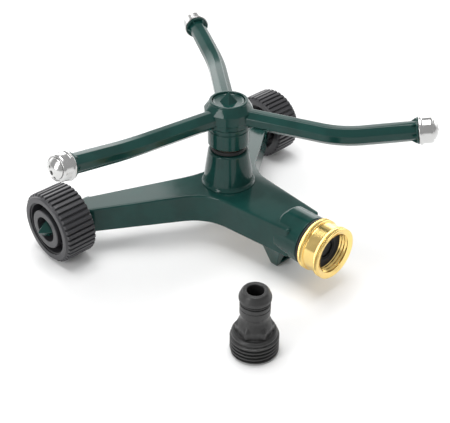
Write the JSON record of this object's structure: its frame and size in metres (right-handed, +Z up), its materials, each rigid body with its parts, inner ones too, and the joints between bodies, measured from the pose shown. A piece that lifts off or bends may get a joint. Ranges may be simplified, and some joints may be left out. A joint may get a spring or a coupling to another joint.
{
  "type": "lawn sprinkler",
  "caption": "Rotary lawn sprinkler with bent arms and chrome spray caps on a wheeled Y-shaped base, with a brass hose swivel and a loose hose adapter.",
  "frame": {"origin": "centre of the whole set's box at floor level; the spindle axis stands 7.8 mm towards +X and 3.0 mm towards +Y from it", "axes": "+Z up along the spindle, the hose inlet points to -Y, the wheel axles are parallel to X"},
  "size_m": [0.2401, 0.2242, 0.1064],
  "materials": {
    "paint": "glossy",
    "brass": "polished",
    "chrome": "polished",
    "rubber": "matte",
    "wheel_plastic": "satin",
    "adapter_plastic": "satin",
    "steel": "satin",
    "nylon": "satin"
  },
  "bodies": {
    "base": {"base_casting": "paint", "spindle": "brass", "thrust_washer": "nylon", "bearing_ring": "rubber", "spindle_nut": "steel", "water_tube": "brass", "inlet_tail": "brass", "inlet_seal": "rubber", "axle_left": "paint", "axle_right": "paint", "wheel_washer_left": "nylon", "wheel_washer_right": "nylon"},
    "rotor": {"rotor_hub": "paint", "hub_cap": "paint", "swivel_collar": "paint", "rotor_bush": "brass", "spindle_seal": "rubber", "arm_1": "paint", "arm_2": "paint", "arm_3": "paint"},
    "nozzle_1": {"nozzle_cap_1": "chrome", "nozzle_seal_1": "rubber"},
    "nozzle_2": {"nozzle_cap_2": "chrome", "nozzle_seal_2": "rubber"},
    "nozzle_3": {"nozzle_cap_3": "chrome", "nozzle_seal_3": "rubber"},
    "wheel_left": {"wheel_left": "wheel_plastic", "tyre_left": "wheel_plastic"},
    "wheel_right": {"wheel_right": "wheel_plastic", "tyre_right": "wheel_plastic"},
    "coupling": {"swivel_coupling": "brass", "hose_washer": "rubber", "strainer": "steel"},
    "adapter": {"adapter_body": "adapter_plastic", "adapter_o_ring": "rubber"}
  },
  "joints": [
    {"name": "rotor_spin", "type": "hinge", "parent": "base", "child": "rotor", "pos_m": [0.0078, 0.003, 0.0879], "axis": [0, 0, 1], "continuous": true},
    {"name": "wheel_left_spin", "type": "hinge", "parent": "base", "child": "wheel_left", "pos_m": [-0.0876, 0.059, 0.0236], "axis": [1, 0, 0], "continuous": true},
    {"name": "wheel_right_spin", "type": "hinge", "parent": "base", "child": "wheel_right", "pos_m": [0.1032, 0.059, 0.0236], "axis": [1, 0, 0], "continuous": true},
    {"name": "coupling_spin", "type": "hinge", "parent": "base", "child": "coupling", "pos_m": [0.0078, -0.0809, 0.0284], "axis": [0, 1, 0], "continuous": true},
    {"name": "nozzle_1_twist", "type": "hinge", "parent": "rotor", "child": "nozzle_1", "pos_m": [0.06119, -0.10133, 0.0973], "axis": [0.5598, -0.8023, 0.2073], "range_deg": [-45, 45]},
    {"name": "nozzle_2_twist", "type": "hinge", "parent": "rotor", "child": "nozzle_2", "pos_m": [0.07146, 0.1014, 0.0973], "axis": [0.4149, 0.8859, 0.2073], "range_deg": [-45, 45]},
    {"name": "nozzle_3_twist", "type": "hinge", "parent": "rotor", "child": "nozzle_3", "pos_m": [-0.10925, 0.00893, 0.0973], "axis": [-0.9747, -0.0836, 0.2073], "range_deg": [-45, 45]},
    {"name": "adapter_lift", "type": "slide", "parent": "base", "child": "adapter", "axis": [0, 0, 1], "range_m": [0, 0.035]}
  ]
}
